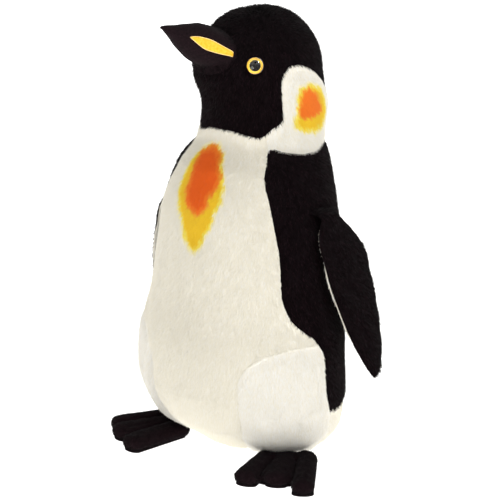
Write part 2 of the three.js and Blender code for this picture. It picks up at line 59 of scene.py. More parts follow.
CROWN_Z, BROW_Z, CROWN_POWER = 610, 520, 2.2
CROWN_ARC = 140  # length given to the curve from the brow up to the crown
HEAD_TURN, TURN_FROM_Z, TURN_TO_Z, NECK_Y = 13, 430, 500, 20
BACK_LOW_Z, BACK_TOP_Z, THIGH_TOP_Z = 82, 428, 184
# The head is fuller round the beak, and at the back of each cheek: bulge, middle turn, spread, level, height
FULLER = [(8, 0, 50, 528, 36), (5.5, 126, 32, 478, 34)]
PILE_ROOM = 4.5  # the skin lies this far inside the pile's tips
SKIN_THICKNESS = 2.5
SEAM_ROOM, FLOOR_ROOM = 0.15, 1.0  # a skin stays this far from the middle seam's plane and from the floor
PANEL_LOW_Z = 2
SIDE_TOP_TURN, CHEEK_REAR_TURN = 46, 155  # where the cheek meets the belly's side seam, and where it ends
SIDES = ((1, "left"), (-1, "right"))

# Height, centre Y, half width, half depth
TRUNK = [
    (0, 30, 88, 68), (20, 12, 116, 86), (50, -4, 146, 105), (100, -13, 162, 113), (150, -15, 162, 113),
    (220, -10, 151, 110), (320, -2, 134, 110), (360, 2, 125, 107), (400, 9, 112, 98), (440, 21, 93, 84),
    (480, 25, 87, 84), (520, 20, 88, 86),
]
# Height and turn of the belly's side seam and of the thigh's front seam
SIDE_SEAM = [
    (0, 95), (80, 90), (127, 86), (164, 85), (186, 79), (204, 67), (217, 61), (250, 56), (290, 56),
    (340, 53), (370, 50), (400, 46), (428, 46), (460, 46),
]
THIGH_FRONT = [(0, 20), (30, 28), (68, 30), (130, 30), (146, 33), (166, 42), (178, 56), (184, 78)]
# Turn and height of the hood's edge
HOOD_EDGE = [
    (0, 453), (15, 452), (38, 446), (54, 457), (69.5, 471), (73, 494), (75.5, 521), (79, 533), (85, 539),
    (95, 540), (108, 535), (123, 523), (145, 500), (151, 470), (155, 430), (180, 430),
]
# How far the seam between the cheek and the back rises above BACK_TOP_Z, at each turn
NECK_SEAM = [
    (44, 3), (51, 5.5), (60, 2.5), (72, -1), (84, -3), (94, -3), (103, 0), (116, 3), (129, 4), (145, 1),
    (152, 0),
]

# ---- Curves and the trunk's surface ----


def through(rows, x, column=1):
    """A smooth curve through the rows that never overshoots them."""
    rows = np.asarray(rows, float)
    xs, ys = rows[:, 0], rows[:, column]
    span = np.diff(xs)
    slope = np.diff(ys) / span
    tangent = np.zeros(len(xs))
    tangent[0], tangent[-1] = slope[0], slope[-1]
    for k in range(1, len(xs) - 1):
        if slope[k - 1] * slope[k] > 0:
            w1, w2 = 2 * span[k] + span[k - 1], span[k] + 2 * span[k - 1]
            tangent[k] = (w1 + w2) / (w1 / slope[k - 1] + w2 / slope[k])
    at = np.clip(np.asarray(x, float), xs[0], xs[-1])
    i = np.clip(np.searchsorted(xs, at, side="right") - 1, 0, len(xs) - 2)
    h = span[i]
    s = (at - xs[i]) / h
    return (
        ys[i] * (2 * s**3 - 3 * s**2 + 1) + h * tangent[i] * (s**3 - 2 * s**2 + s)
        + ys[i + 1] * (3 * s**2 - 2 * s**3) + h * tangent[i + 1] * (s**3 - s**2)
    )


def smoothstep(x, low, high):
    s = np.clip((np.asarray(x, float) - low) / (high - low), 0, 1)
    return s * s * (3 - 2 * s)


def unit(v):
    return v / np.maximum(np.linalg.norm(v, axis=-1, keepdims=True), 1e-9)


def arc_of(z):
    """The level s of a height: the height itself, and above the brow a length along the crown's curve."""
    share = np.clip((np.asarray(z, float) - BROW_Z) / (CROWN_Z - BROW_Z), 0, 1) ** (CROWN_POWER / 2)
    return np.where(z <= BROW_Z, z, BROW_Z + CROWN_ARC * np.arcsin(share) / (math.pi / 2))


def bare(turn, s):
    """Points of the trunk's plain outline, without the muzzle and the jowls."""
    rise = np.clip((s - BROW_Z) / CROWN_ARC, 0, 1) * math.pi / 2
    z = np.where(s <= BROW_Z, s, BROW_Z + (CROWN_Z - BROW_Z) * np.sin(rise) ** (2 / CROWN_POWER))
    close = np.cos(rise) ** (2 / CROWN_POWER)
    low = np.minimum(s, BROW_Z)
    centre, wide, deep = (through(TRUNK, low, k) for k in (1, 2, 3))
    t = np.radians(turn)
    return np.stack([wide * close * np.sin(t), centre - deep * close * np.cos(t), z + 0 * t], -1)


def fullness(turn, z):
    """How far the muzzle and the jowls lift the outline."""
    return sum(
        bulge * np.exp(-(((np.abs(turn) - middle) / spread) ** 2) - ((z - level) / height) ** 2)
        for bulge, middle, spread, level, height in FULLER
    )


def section(z):
    """Centre, half width and half depth at a height."""
    rise = np.clip((np.asarray(z, float) - BROW_Z) / (CROWN_Z - BROW_Z), 0, 0.999)
    close = (1 - rise**CROWN_POWER) ** (1 / CROWN_POWER)
    centre, wide, deep = (through(TRUNK, np.minimum(z, BROW_Z), k) for k in (1, 2, 3))
    return centre, wide * close, deep * close


def surface(turn, s, lift=0.0):
    """Points lifted from the trunk's outline, and their outward directions, before the neck's twist."""
    top = BROW_Z + CROWN_ARC
    lift = lift + fullness(turn, bare(turn, s)[..., 2])
    along = bare(turn + 0.5, s) - bare(turn - 0.5, s)
    up = bare(turn, np.minimum(s + 0.5, top)) - bare(turn, np.maximum(s - 0.5, 0))
    normal = np.cross(along, up)
    flat = np.linalg.norm(normal, axis=-1) < 1e-6
    normal[flat] = (0, 0, 1)
    normal = unit(normal)
    return bare(turn, s) + normal * np.asarray(lift)[..., None], normal


def twist_angle(z):
    return -math.radians(HEAD_TURN) * smoothstep(z, TURN_FROM_Z, TURN_TO_Z)


def turned(v, angle, pivot=0.0):
    x, y = v[..., 0], v[..., 1] - pivot
    c, s = np.cos(angle), np.sin(angle)
    return np.stack([x * c - y * s, pivot + x * s + y * c, v[..., 2]], -1)


def twisted(points, *directions):
    """Points and directions turned with the head, as a list."""
    angle = twist_angle(points[..., 2])
    return [turned(points, angle, NECK_Y)] + [turned(d, angle) for d in directions]


def drift(points, size, seed):
    """A smooth wandering value, about -1 to 1, that changes over about size millimetres."""
    rng = np.random.default_rng(seed)
    k = unit(rng.normal(size=(7, 3))) * (2 * math.pi / size) * rng.uniform(0.6, 1.5, (7, 1))
    return np.sin(points @ k.T + rng.uniform(0, 2 * math.pi, 7)).sum(-1) / 2.6


# ---- Materials ----

CLOTH_SPECULAR = 0.08
CLOTH_RELIEF, PLASTIC_RELIEF = 0.0006, 0.0002  # depth of the bumps, in metres


def srgb(r, g, b):
    c = np.array([r, g, b]) / 255
    return tuple(np.where(c <= 0.04045, c / 12.92, ((c + 0.055) / 1.055) ** 2.4)) + (1.0,)


def set_inputs(node, values):
    for name, value in values.items():
        node.inputs[name].default_value = value


def shader_of(name, roughness, values):
    material = bpy.data.materials.new(name)
    material.use_nodes = True
    shader = material.node_tree.nodes["Principled BSDF"]
    set_inputs(shader, {"Roughness": roughness, "Specular IOR Level": CLOTH_SPECULAR} | values)
    return material, shader


def add_node(material, kind, **values):
    node = material.node_tree.nodes.new(kind)
    for key, value in values.items():
        if key in node.inputs:
            node.inputs[key].default_value = value
        else:
            setattr(node, key, value)
    return node


def noise_over(material, place, scale, detail, roughness=0.5):
    noise = add_node(material, "ShaderNodeTexNoise", Scale=scale, Detail=detail, Roughness=roughness)
    material.node_tree.links.new(place, noise.inputs["Vector"])
    return noise.outputs["Fac"]


def two_shades(material, factor, dark, light, low=0.3, high=0.7):
    """A ramp from a dark shade to a light one, driven by a factor."""
    ramp = add_node(material, "ShaderNodeValToRGB")
    for element, place, colour in zip(ramp.color_ramp.elements, (low, high), (dark, light)):
        element.position, element.color = place, srgb(*colour)
    material.node_tree.links.new(factor, ramp.inputs["Fac"])
    return ramp


def add_relief(material, shader, height, strength, distance):
    relief = add_node(material, "ShaderNodeBump", Strength=strength, Distance=distance)
    material.node_tree.links.new(height, relief.inputs["Height"])
    material.node_tree.links.new(relief.outputs["Normal"], shader.inputs["Normal"])


def cloth(name, dark, light, scale, fibre_scale, bump=0.4, sheen=0.2, stretch=(1, 1, 0.3), painted=False,
          weave=False):
    """Fabric whose colour wanders between two shades, with a bump of fibres or of woven threads."""
    material, shader = shader_of(name, 1.0, {"Sheen Weight": sheen})
    link = material.node_tree.links.new
    coords = add_node(material, "ShaderNodeTexCoord")
    mapping = add_node(material, "ShaderNodeMapping", Scale=stretch)
    link(coords.outputs["Object"], mapping.inputs["Vector"])
    shade = noise_over(material, mapping.outputs["Vector"], scale, 5.0, 0.65)
    colour = two_shades(material, shade, dark, light).outputs["Color"]
    if painted:
        paint = add_node(material, "ShaderNodeAttribute", attribute_name="airbrush")
        mixed = add_node(material, "ShaderNodeMix", data_type="RGBA", blend_type="MULTIPLY")
        mixed.inputs[0].default_value = 1.0
        link(colour, mixed.inputs[6])
        link(paint.outputs["Color"], mixed.inputs[7])
        colour = mixed.outputs[2]
    link(colour, shader.inputs["Base Color"])
    if weave:
        threads = add_node(material, "ShaderNodeMath", operation="MAXIMUM")
        for k, direction in enumerate("XY"):
            wave = add_node(material, "ShaderNodeTexWave", Scale=fibre_scale / 3, bands_direction=direction)
            link(coords.outputs["Object"], wave.inputs["Vector"])
            link(wave.outputs["Fac"], threads.inputs[k])
        height = threads.outputs[0]
    else:
        height = noise_over(material, mapping.outputs["Vector"], fibre_scale, 3.0)
    add_relief(material, shader, height, bump, CLOTH_RELIEF)
    return material


def plastic(name, dark, light, scale, roughness, specular=0.5):
    """Moulded plastic with slight mottling and a faint relief."""
    material, shader = shader_of(name, roughness, {"Specular IOR Level": specular})
    coords = add_node(material, "ShaderNodeTexCoord")
    noise = noise_over(material, coords.outputs["Object"], scale, 4.0)
    ramp = two_shades(material, noise, dark, light)
    material.node_tree.links.new(ramp.outputs["Color"], shader.inputs["Base Color"])
    add_relief(material, shader, noise, 0.05, PLASTIC_RELIEF)
    return material


def glass(name):
    finish = {"Base Color": (1, 1, 1, 1), "Specular IOR Level": 0.5, "Transmission Weight": 1.0, "IOR": 1.45}
    return shader_of(name, 0.01, finish)[0]


def fibre_shades(name, colours, sheen):
    """One plain material for each shade of fibre, because each strand has one colour from root to tip."""
    return [
        shader_of(f"{name}_{k}", 0.9, {"Sheen Weight": sheen, "Base Color": srgb(*colour)})[0]
        for k, colour in enumerate(colours)
    ]


BLACK_SHADES = [(8, 1, 3), (14, 4, 7), (22, 9, 13), (34, 19, 24)]
WHITE_SHADES = [(244, 238, 219), (248, 242, 225), (251, 247, 236), (254, 252, 246)]
FELT_SHADES = [(18, 8, 11), (27, 14, 18), (37, 24, 28)]
# The airbrush, from the pale halo to the deepest orange
PAINT = [(255, 246, 205), (255, 232, 96), (253, 208, 52), (253, 165, 58), (255, 130, 44), (250, 108, 34)]
BLACK_MIX, WHITE_MIX = (5, 6, 3, 1), (3, 6, 2, 0)  # how often each shade is picked
EVEN = (1, 1, 1)  # stretch of a cloth whose fibres run no one way

black_fibres = fibre_shades("black_fibre", BLACK_SHADES, 0.03)
white_fibres = fibre_shades("white_fibre", WHITE_SHADES + PAINT, 0.1)
felt_fibres = fibre_shades("felt_fibre", FELT_SHADES, 0.04)
black_skin = cloth("black_plush", (8, 3, 5), (20, 11, 15), 90, 900, sheen=0.03)
white_skin = cloth("white_plush", (240, 234, 218), (252, 249, 240), 60, 900, painted=True)
lining_cloth = cloth("white_lining", (222, 215, 196), (246, 241, 228), 80, 1100)
black_felt = cloth("black_felt", (16, 8, 11), (32, 20, 24), 350, 1300, 0.5, 0.03, EVEN)
yellow_felt = cloth("yellow_felt", (244, 170, 32), (255, 204, 74), 300, 1200, stretch=EVEN)
pale_edge = cloth("yellow_felt_edge", (250, 205, 120), (255, 226, 160), 400, 1200, stretch=EVEN)
base_cloth = cloth("base_cloth", (214, 206, 186), (236, 230, 214), 120, 900, stretch=EVEN, weave=True)
fibre_filling = cloth("fibre_filling", (226, 226, 220), (252, 252, 248), 140, 500, stretch=EVEN)
pellet_cloth = cloth("pellet_cloth", (190, 180, 155), (216, 207, 184), 90, 700, stretch=EVEN, weave=True)
black_plastic = plastic("black_plastic", (6, 5, 5), (16, 14, 14), 300, 0.2)
pupil_plastic = plastic("black_pupil", (2, 1, 1), (7, 5, 5), 300, 0.3, specular=0.02)
washer_plastic = plastic("washer_plastic", (214, 214, 208), (236, 236, 230), 200, 0.5)
lens_glass = glass("clear_lens")


def iris_material():
    """Amber rings round the eye's own axis, given to each vertex as its share of the radius."""
    material, shader = shader_of("amber_iris", 0.25, {})
    link = material.node_tree.links.new
    share = add_node(material, "ShaderNodeAttribute", attribute_name="ring")
    ramp = two_shades(material, share.outputs["Fac"], (255, 236, 130), (244, 172, 42), 0.55, 0.98)
    middle = ramp.color_ramp.elements.new(0.8)
    middle.color = srgb(253, 203, 55)
    coords = add_node(material, "ShaderNodeTexCoord")
    noise = noise_over(material, coords.outputs["Object"], 500.0, 3.0)
    mixed = add_node(material, "ShaderNodeMix", data_type="RGBA", blend_type="SOFT_LIGHT")
    mixed.inputs[0].default_value = 0.35
    link(ramp.outputs["Color"], mixed.inputs[6])
    link(noise, mixed.inputs[7])
    link(mixed.outputs[2], shader.inputs["Base Color"])
    return material


amber_iris = iris_material()

# ---- Meshes ----


def spaced(low, high, count):
    return np.linspace(low, high, count)


def linked(name, data):
    made = bpy.data.objects.new(name, data)
    bpy.context.scene.collection.objects.link(made)
    return made


def make_object(name, points, faces, material):
    """An object from points in millimetres, with doubled points and faces without area taken out."""
    mesh = bpy.data.meshes.new(name)
    mesh.from_pydata((np.asarray(points) * MM + ORIGIN).tolist(), [], faces)
    work = bmesh.new()
    work.from_mesh(mesh)
    bmesh.ops.remove_doubles(work, verts=work.verts, dist=2e-6)
    bmesh.ops.dissolve_degenerate(work, dist=1e-6, edges=work.edges)
    bmesh.ops.recalc_face_normals(work, faces=work.faces)
    for face in work.faces:
        face.smooth = True
    work.to_mesh(mesh)
    work.free()
    mesh.materials.append(material)
    return linked(name, mesh)


def ring_quads(rows, columns):
    """Faces of a grid of points that closes on itself both ways."""
    index = np.arange(rows * columns).reshape(rows, columns)
    index = np.concatenate([index, index[:, :1]], 1)
    index = np.concatenate([index, index[:1]], 0)
    corners = [index[:-1, :-1], index[:-1, 1:], index[1:, 1:], index[1:, :-1]]
    return np.stack(corners, -1).reshape(-1, 4).tolist()


def shell(name, outer, inner, material, around=False):
    """A closed sheet with thickness between two grids of points; around joins its first and last columns."""
    rows, columns = outer.shape[:2]
    index = np.arange(2 * rows * columns).reshape(2, rows, columns)
    if around:
        index = np.concatenate([index, index[:, :, :1]], 2)
    o, i = index
    quads = [np.stack([o[:-1, :-1], o[:-1, 1:], o[1:, 1:], o[1:, :-1]], -1).reshape(-1, 4)]
    quads.append(np.stack([i[:-1, :-1], i[1:, :-1], i[1:, 1:], i[:-1, 1:]], -1).reshape(-1, 4))
    rims = [(o[0], i[0]), (i[-1], o[-1])]
    if not around:
        rims += [(i[:, 0], o[:, 0]), (o[:, -1], i[:, -1])]
    for a, b in rims:
        quads.append(np.stack([a[:-1], b[:-1], b[1:], a[1:]], -1))
    points = np.concatenate([outer.reshape(-1, 3), inner.reshape(-1, 3)])
    return make_object(name, points, np.concatenate(quads).tolist(), material)


def groove(points, seams, width=5.0):
    """How far the stitches pull the cloth in; seams gives the depth at the left, right, bottom and top."""
    across = np.zeros(points.shape[:2])
    across[:, 1:] = np.linalg.norm(np.diff(points, axis=1), axis=-1).cumsum(1)
    along = np.zeros(points.shape[:2])
    along[1:] = np.linalg.norm(np.diff(points, axis=0), axis=-1).cumsum(0)
    away = [across, across[:, -1:] - across, along, along[-1:] - along]
    return np.max([depth * np.exp(-((d / width) ** 2)) for d, depth in zip(away, seams)], axis=0)


# ---- Pile: short tapered fibres, each a closed strand ----

DENSITY = 0.5  # strands on a square millimetre
PILE_DROP = 2.5  # how far below its root the middle of a fibre hangs
COMBED = {"tuft": 0.2, "rough": 0.08, "stray": 5}  # white pile lies smoother than black
# The range of each strand's length and width, and the height of its ridge, as shares of the stated size
LONG, WIDE, RIDGE = (0.7, 1.15), (0.75, 1.25), 0.55
LOWEST_STRAND = 0.4


def strands(name, roots, normals, flow, shades, materials, rng, length=6.5, width=1.05, lean=56, tuft=0.5,
            rough=0.4, stray=9):
    """Fibres that lean along the flow, gathered in tufts, with their tips near the CAD's outline."""
    count = len(roots)
    side = unit(np.cross(flow, normals))
    sway = 0.5 * drift(roots, 9, 5) * tuft + 0.45 * drift(roots, 28, 6) * tuft
    sway = sway + rng.normal(0, stray / 40, count)
    along = unit(flow + side * sway[:, None])
    tilt = np.radians(lean + 9 * drift(roots, 12, 7) * tuft + rng.normal(0, stray, count))[:, None]
    direction = unit(normals * np.cos(tilt) + along * np.sin(tilt))
    side = unit(np.cross(direction, normals))
    up = np.cross(side, direction)
    long = (length * rng.uniform(*LONG, count))[:, None]
    wide = width * rng.uniform(*WIDE, count)[:, None]
    points = np.stack([
        roots - side * wide / 2, roots + side * wide / 2, roots + up * wide * RIDGE, roots + direction * long,
    ], 1)
    points[..., 2] = np.maximum(points[..., 2], LOWEST_STRAND)
    corner = np.arange(count)[:, None, None] * 4
    faces = corner + np.array([[0, 1, 2], [0, 3, 1], [1, 3, 2], [2, 3, 0]])
    mesh = bpy.data.meshes.new(name)
    mesh.vertices.add(count * 4)
    mesh.vertices.foreach_set("co", (points * MM + ORIGIN).astype(np.float32).ravel())
    mesh.loops.add(count * 12)
    mesh.loops.foreach_set("vertex_index", faces.astype(np.int32).ravel())
    mesh.polygons.add(count * 4)
    mesh.polygons.foreach_set("loop_start", np.arange(0, count * 12, 3, dtype=np.int32))
    mesh.polygons.foreach_set("material_index", np.repeat(shades, 4).astype(np.int32))
    for material in materials:
        mesh.materials.append(material)
    mesh.update(calc_edges=True)
    mesh.polygons.foreach_set("use_smooth", np.ones(count * 4, bool))
    soft = unit(normals + rough * side * rng.normal(0, 1, (count, 1)) + 0.12 * direction)
    corners = np.repeat(soft[:, None], 4, 1).reshape(-1, 3)
    mesh.normals_split_custom_set_from_vertices(corners.tolist())
    return linked(name, mesh)


def cell_areas(grid):
    a, b = grid[1:, 1:] - grid[:-1, :-1], grid[1:, :-1] - grid[:-1, 1:]
    return np.linalg.norm(np.cross(a, b), axis=-1) / 2


def scatter(grid, extras, count, rng):
    """Random places spread evenly over a grid's area, with the values there of each extra array."""
    area = cell_areas(grid)
    cells = rng.choice(area.size, count, p=(area / area.sum()).ravel())
    row, column = np.unravel_index(cells, area.shape)
    u, v = rng.random(count), rng.random(count)

    def at(values):
        shape = (count,) + (1,) * (values.ndim - 2)
        uu, vv = u.reshape(shape), v.reshape(shape)
        low = values[row, column] * (1 - uu) + values[row, column + 1] * uu
        high = values[row + 1, column] * (1 - uu) + values[row + 1, column + 1] * uu
        return low * (1 - vv) + high * vv

    return [at(x) for x in (grid, *extras)]


def grid_normals(grid):
    return unit(np.cross(np.gradient(grid, axis=1), np.gradient(grid, axis=0)))


def random_shades(weights, count, rng):
    return rng.choice(len(weights), count, p=np.array(weights) / sum(weights))


def laid(direction, out):
    """A direction laid along a surface, at each of its outward directions."""
    return unit(direction - out * (out @ direction)[:, None])


# ---- Airbrushed patches ----

# Outlines as turn and height: the chest patch and the spot behind each cheek, with their orange cores
CHEST = [
    (-4, 434), (2, 433), (9.5, 422), (12.5, 410), (16.5, 396), (18.5, 382), (18, 364), (14.5, 351),
    (11.5, 329), (7, 312), (3, 298), (0, 293), (-4, 299), (-8, 311), (-12, 331), (-17, 345), (-20.5, 362),
    (-21.5, 382), (-21, 401), (-21, 416), (-14.5, 428),
]
CHEST_CORE = [
    (-3.5, 433), (7, 423), (10, 409), (14, 396), (13, 378), (7.5, 367), (8, 354), (1, 343), (-3.5, 346),
    (-10, 353), (-12.5, 370), (-12.5, 386), (-15, 408), (-16.5, 422),
]
SPOT = [
    (106.5, 512), (122, 503), (126, 488), (125, 467), (115.5, 452), (100.5, 447), (84, 451), (76.5, 457),
    (78, 465), (85, 476), (88.5, 496), (93.5, 507),
]
SPOT_CORE = [
    (104.5, 505), (113.5, 498), (115.5, 480), (115.5, 473), (104.5, 467), (90, 466), (86, 472), (91, 485),
    (96.5, 502),
]
CHEST_RADIUS, SPOT_RADIUS = 120, 87  # these turn degrees into millimetres
# How far inside the outline, and then inside the core, each level starts
OUTLINE_STEPS, CORE_STEPS = [(-3.0, 1), (0.0, 2), (4.5, 3)], [(-1.5, 4), (1.5, 5), (7.0, 6)]
CHEST_DEEPEST, SPOT_DEEPEST = 6, 5


def inside_by(points, outline):
    """Signed distance of flat points into a closed outline, positive inside."""
    outline = np.asarray(outline, float)
    a, b = outline, np.roll(outline, -1, 0)
    edge = b - a
    rel = points[:, None] - a
    share = np.clip((rel * edge).sum(-1) / (edge**2).sum(-1), 0, 1)
    distance = np.linalg.norm(rel - edge * share[..., None], axis=-1).min(1)
    crosses = (a[:, 1] > points[:, None, 1]) != (b[:, 1] > points[:, None, 1])
    x = a[:, 0] + (points[:, None, 1] - a[:, 1]) * edge[:, 0] / np.where(edge[:, 1] == 0, 1e-9, edge[:, 1])
    inside = (crosses & (points[:, None, 0] < x)).sum(1) % 2 == 1
    return np.where(inside, distance, -distance)


def paint_levels(turn, z, rng, spread):
    """0 where unpainted, then 1 to 6 from the pale halo to the deepest orange."""
    level = np.zeros(len(turn), int)
    for outline, core, radius, turns, deepest in (
        (CHEST, CHEST_CORE, CHEST_RADIUS, turn, CHEST_DEEPEST),
        (SPOT, SPOT_CORE, SPOT_RADIUS, np.abs(turn), SPOT_DEEPEST),
    ):
        scale = math.radians(1) * radius
        at = np.stack([turns * scale, z], -1)
        edge = inside_by(at, [(t * scale, h) for t, h in outline])
        heart = inside_by(at, [(t * scale, h) for t, h in core])
        place = np.stack([at[:, 0], 0 * z, at[:, 1] * 0.45], -1)
        blur = rng.normal(0, spread, len(turn)) + 1.1 * drift(place, 7, 11) * min(spread, 1)
        found = np.zeros(len(turn), int)
        for inside, steps in ((edge, OUTLINE_STEPS), (heart, CORE_STEPS)):
            for limit, value in steps:
                found = np.where(inside + blur > limit, value, found)
        level = np.maximum(level, np.minimum(found, deepest))
    return level


# ---- Skins ----

DOWN = np.array([0.0, 0.0, -1.0])


def skin_pair(name, turn, s, seams, slot, bulge=0.0, crease=0.0, density=1.0, clear=None, length=6.5,
              mix=WHITE_MIX):
    """A left and a right panel of skin and their pile, from grids of turn and level.
    They stand for the CAD panels of the same name, and the trunk's body carries them."""
    white = slot == "white_plush"
    flat, _ = surface(turn, s)
    soft = 1.1 * drift(flat, 70, 3) + crease * drift(flat * np.array([1, 1, 0.22]), 30, 4)
    lift = bulge + soft - PILE_ROOM - groove(flat, seams)
    for sign, side in SIDES:
        points, normals = surface(turn, s, lift)
        inner, _ = surface(turn, s, lift - SKIN_THICKNESS)
        for grid in (points, inner):
            grid[..., 0] = np.maximum(grid[..., 0], SEAM_ROOM)
        for grid in (points, inner, normals):
            grid[..., 0] *= sign
        points, normals = twisted(points, normals)
        (inner,) = twisted(inner)
        grids = [points, inner, normals, turn * sign, s]
        if sign < 0:
            grids = [grid[:, ::-1] for grid in grids]
        points, inner, normals, turns, levels = grids
        for grid in (points, inner):
            grid[..., 2] = np.maximum(grid[..., 2], FLOOR_ROOM)
        skin = shell(f"{name}_{side}_skin", points, inner, white_skin if white else black_skin)
        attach(skin, "trunk")
        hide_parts(f"{name}_{side}")
        if white:
            paint_skin(skin)
        rng = np.random.default_rng(sum(map(ord, name)) + (sign > 0))
        count = int(cell_areas(points).sum() * DENSITY * density)
        roots, out, at_turn, at_level = scatter(points, [normals, turns, levels], count, rng)
        out = unit(out)
        if clear is not None:
            keep = clear(np.abs(at_turn), at_level)
            roots, out, at_turn, at_level = roots[keep], out[keep], at_turn[keep], at_level[keep]
        shades = random_shades(mix if white else BLACK_MIX, len(roots), rng)
        if white:
            level = paint_levels(at_turn, at_level - PILE_DROP, rng, 1.1)
            shades = np.where(level > 0, level + len(WHITE_SHADES) - 1, shades)
        pile = strands(
            f"{name}_{side}_pile", roots - out * 0.6, out, laid(DOWN, out), shades,
            white_fibres if white else black_fibres, rng, length=length, **(COMBED if white else {}),
        )
        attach(pile, "trunk")


def paint_skin(skin):
    """Colours the skin under the painted pile, so that none of the white shows between the fibres."""
    mesh = skin.data
    co = np.array([v.co for v in mesh.vertices]) / MM - ORIGIN / MM
    angle = -twist_angle(co[:, 2])
    back = turned(co, angle, NECK_Y)
    centre, wide, deep = (through(TRUNK, co[:, 2], k) for k in (1, 2, 3))
    turn = np.degrees(np.arctan2(back[:, 0] / wide, (centre - back[:, 1]) / deep))
    level = paint_levels(turn, co[:, 2], np.random.default_rng(1), 0.01)
    palette = np.array([(1, 1, 1, 1)] + [srgb(*colour) for colour in PAINT])
    colours = palette[level]
    attribute = mesh.color_attributes.new("airbrush", "FLOAT_COLOR", "POINT")
    attribute.data.foreach_set("color", colours.astype(np.float32).ravel())


def belly_edge(z):
    return np.where(z < THIGH_TOP_Z, through(THIGH_FRONT, z), through(SIDE_SEAM, z))


# Rows lie closer together where the belly's edge steps back over the thigh
rows = np.concatenate([spaced(0, 0.36, 46), spaced(0.368, 0.425, 16), spaced(0.43, 1, 60)])
u, v = np.meshgrid(spaced(0, 1, 46), rows)
belly_s = PANEL_LOW_Z + v * (through(HOOD_EDGE, u * SIDE_TOP_TURN) - PANEL_LOW_Z)
skin_pair("belly", u * belly_edge(belly_s), belly_s, (0.7, 2, 4, 3), "white_plush", crease=0.5, density=1.85)

THIGH_SWELL = 7
thigh_top = THIGH_TOP_Z - 2
u, v = np.meshgrid(spaced(0, 1, 36), np.concatenate([spaced(0, 0.75, 40), spaced(0.76, 1, 30)]))
thigh_s = PANEL_LOW_Z + v * (thigh_top - PANEL_LOW_Z)
front, rear = through(THIGH_FRONT, thigh_s), through(SIDE_SEAM, thigh_s)
swell = THIGH_SWELL * np.sqrt(np.maximum(np.sin(math.pi * u) * np.sin(math.pi * v), 0))
skin_pair(
    "thigh", front + (rear - front) * u, thigh_s, (2.2, 2, 4, 2), "white_plush", bulge=swell, density=2.2,
    length=7, mix=(0, 2, 6, 2),
)

u, v = np.meshgrid(spaced(0, 1, 70), spaced(0, 1, 96))
side = through(SIDE_SEAM, BACK_LOW_Z + v * (BACK_TOP_Z - BACK_LOW_Z))
back_top = BACK_TOP_Z + through(NECK_SEAM, side + (180 - side) * u)
back_s = BACK_LOW_Z + v * (back_top - BACK_LOW_Z)
side = through(SIDE_SEAM, back_s)
skin_pair("back", side + (180 - side) * u, back_s, (3, 1.5, 3, 2), "black_plush", density=0.85)

u, v = np.meshgrid(spaced(0, 1, 50), spaced(0, 1, 26))
rump_s = PANEL_LOW_Z + v * (BACK_LOW_Z - PANEL_LOW_Z)
side = through(SIDE_SEAM, rump_s)
skin_pair("rump", side + (180 - side) * u, rump_s, (3, 1.5, 4, 3), "white_plush", density=0.9)


def hood_line(count, first, last):
    """Turns along the hood's edge, evenly spaced by length, and its height at each."""
    turns = spaced(first, last, 2000)
    heights = through(HOOD_EDGE, turns)
    mm_per_degree = 1.5
    length = np.concatenate([[0], np.hypot(np.diff(turns) * mm_per_degree, np.diff(heights)).cumsum()])
    picked = np.interp(spaced(0, length[-1], count), length, turns)
    return picked, through(HOOD_EDGE, picked)


cheek_turns, cheek_tops = hood_line(70, SIDE_TOP_TURN, CHEEK_REAR_TURN)
v = spaced(0, 1, 34)[:, None]
cheek_tops = np.maximum(cheek_tops, BACK_TOP_Z + 0.5)
cheek_low = BACK_TOP_Z + through(NECK_SEAM, cheek_turns)[None]
cheek_s = cheek_low + v * (np.maximum(arc_of(cheek_tops)[None], cheek_low + 0.5) - cheek_low)
skin_pair(
    "cheek", np.broadcast_to(cheek_turns, cheek_s.shape).copy(), cheek_s, (0, 0, 3, 3), "white_plush",
    density=2, length=5.5, mix=(0, 4, 5, 2),
)

# ---- The beak's shape ----

BEAK_TOP = [(60, 577), (72, 583.5), (100, 592.5), (125, 592.5), (153, 593.5)]
BEAK_BOTTOM = [
    (60, 519), (72, 526), (100, 537), (110, 543), (120, 551.5), (131, 562.5), (142.5, 577), (153, 587.5),
]
BEAK_ROOT, BEAK_TIP, BEAK_HALF, BEAK_TIP_RADIUS = 72, 153, 41, 3
BEAK_FLARE = 69  # behind this the felt lies over the head
BEAK_THICK = 35  # about half the beak's thickness at its root
NEAR_OUT, NEAR_TURN = 60, 60  # the beak's felt covers the head only past this distance and within this turn
# The felt's edge, as distance out at each angle around; plush covers the beak's root behind it
FELT_EDGE = [(-90, 103), (-68, 101), (-40, 81), (-15, 70), (17, 69.5), (46, 72.5), (84, 83), (90, 84)]


def beak_half(out):
    along = np.clip((out - BEAK_ROOT) / (BEAK_TIP - BEAK_ROOT), -0.2, 1)
    return BEAK_TIP_RADIUS + (BEAK_HALF - BEAK_TIP_RADIUS) * (1 - along) ** 0.9


def beak_inside(points):
    """Millimetres that a point near the beak lies inside its outline, about."""
    out = NECK_Y - points[..., 1]
    top, bottom = through(BEAK_TOP, out), through(BEAK_BOTTOM, out)
    tall = (points[..., 2] - (top + bottom) / 2) / ((top - bottom) / 2)
    radius = np.hypot(points[..., 0] / beak_half(out), tall)
    return (1 - radius) * BEAK_THICK


